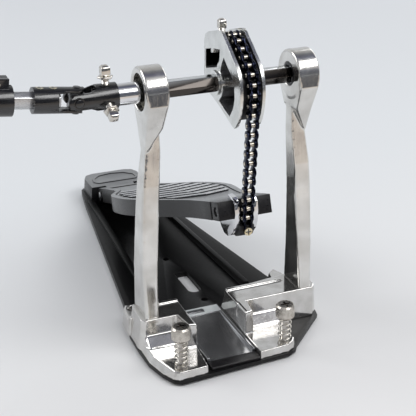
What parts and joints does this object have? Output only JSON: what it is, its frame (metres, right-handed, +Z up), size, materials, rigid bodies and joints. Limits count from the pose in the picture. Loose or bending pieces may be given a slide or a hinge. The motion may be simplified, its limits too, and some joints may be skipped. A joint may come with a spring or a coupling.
{
  "type": "double bass drum pedal, slave side",
  "caption": "Chain-drive slave pedal of a double bass drum pedal, with hinged footboard, cam between cast uprights and a telescoping drive shaft with a universal joint at each end.",
  "frame": {"origin": "on the floor, at the bottom face of the rubber mat, under the middle of the axle between the two uprights", "axes": "+X along the axle toward the drive shaft, +Y from the heel to the drum, +Z up"},
  "size_m": [0.3882, 0.327, 0.2209],
  "materials": {
    "black_steel": "textured black powder coat",
    "black_rubber": "matt ribbed rubber",
    "polished_aluminium": "polished cast aluminium",
    "chrome": "bright chrome plate",
    "black_plastic": "matt black plastic",
    "brassy_zinc": "yellow zinc plate",
    "race_steel": "ground bearing steel",
    "ball_steel": "polished ball steel",
    "spring_steel": "nickel-plated spring wire",
    "gunmetal": "satin gunmetal paint on cast aluminium",
    "bare_grip": "machined bare ribs",
    "pin_steel": "bright steel",
    "blued_steel": "dark blued chain plates",
    "plated_steel": "nickel-plated steel",
    "black_oxide": "semi-gloss black oxide"
  },
  "bodies": {
    "base": {"base_plate": "black_steel", "base_mat": "black_rubber", "block_drive": "polished_aluminium", "block_far": "polished_aluminium", "clamp_plate": "polished_aluminium", "clamp_core": "black_plastic", "block_screws": "brassy_zinc", "upright_drive": "polished_aluminium", "upright_far": "polished_aluminium", "bearing_outer_races": "race_steel", "bearing_balls": "ball_steel", "bearing_shields": "black_plastic", "heel_plate": "gunmetal", "heel_pin": "pin_steel", "heel_screws": "pin_steel", "spur_spring_drive": "spring_steel", "spur_spring_far": "spring_steel"},
    "spur_drive": {"spur_screw_drive": "plated_steel"},
    "spur_far": {"spur_screw_far": "plated_steel"},
    "board": {"footboard": "gunmetal", "board_ribs": "bare_grip", "toe_bar": "black_plastic", "toe_set_screws": "pin_steel", "anchor_cheeks": "chrome", "anchor_core": "black_plastic", "chain_screw": "brassy_zinc"},
    "axle": {"hex_axle": "chrome", "bearing_inner_races": "race_steel", "retaining_ring": "black_oxide", "cam": "polished_aluminium", "cam_bed": "black_plastic", "cam_key_bolt": "plated_steel", "cam_chain": "blued_steel", "axle_yoke": "black_oxide", "axle_key_bolts": "plated_steel"},
    "chain": {"chain_run": "blued_steel"},
    "near_cross_body": {"near_cross": "black_oxide"},
    "rod": {"shaft_yoke": "black_oxide", "shaft_set_screws": "brassy_zinc", "hex_rod": "chrome"},
    "tube": {"outer_tube": "black_oxide", "clamp_collar": "black_oxide", "clamp_bolt": "plated_steel", "tube_yoke": "black_oxide"},
    "far_cross_body": {"far_cross": "black_oxide"},
    "socket": {"far_yoke": "black_oxide", "far_key_bolts": "plated_steel"}
  },
  "joints": [
    {"name": "axle_spin", "type": "hinge", "parent": "base", "child": "axle", "pos_m": [0, 0, 0.179], "axis": [-1, 0, 0], "range_deg": [0, 45], "stiffness_Nm_per_rad": 0.6, "springref_deg": -20.05},
    {"name": "board_tilt", "type": "hinge", "parent": "base", "child": "board", "pos_m": [-0.002, -0.233, 0.014], "axis": [-1, 0, 0], "range_deg": [0, 6.16]},
    {"name": "chain_swing", "type": "hinge", "parent": "axle", "child": "chain", "pos_m": [-0.002, 0.03549, 0.186], "axis": [1, 0, 0], "range_deg": [0, 53.64]},
    {"name": "near_pitch", "type": "hinge", "parent": "axle", "child": "near_cross_body", "pos_m": [0.097, 0, 0.179], "axis": [0, 1, 0], "range_deg": [-15, 15]},
    {"name": "near_yaw", "type": "hinge", "parent": "near_cross_body", "child": "rod", "pos_m": [0.097, 0, 0.179], "axis": [-0.1132, 0, 0.9936], "range_deg": [-15, 15]},
    {"name": "shaft_slide", "type": "slide", "parent": "rod", "child": "tube", "axis": [0.9936, 0, 0.1132], "range_m": [-0.01, 0.05]},
    {"name": "far_yaw", "type": "hinge", "parent": "tube", "child": "far_cross_body", "pos_m": [0.29571, 0, 0.20164], "axis": [-0.1132, 0, 0.9936], "range_deg": [-15, 15]},
    {"name": "far_pitch", "type": "hinge", "parent": "far_cross_body", "child": "socket", "pos_m": [0.29571, 0, 0.20164], "axis": [0, 1, 0], "range_deg": [-15, 15]},
    {"name": "spur_drive_screw", "type": "slide", "parent": "base", "child": "spur_drive", "axis": [0, 0, -1], "range_m": [0, 0.005], "deforming": ["spur_spring_drive"]},
    {"name": "spur_far_screw", "type": "slide", "parent": "base", "child": "spur_far", "axis": [0, 0, -1], "range_m": [0, 0.005], "deforming": ["spur_spring_far"]}
  ],
  "couplings": [
    {"joint": "board_tilt", "follows": "axle_spin", "ratio": 0.13015},
    {"joint": "chain_swing", "follows": "axle_spin", "ratio": 1.1809}
  ]
}
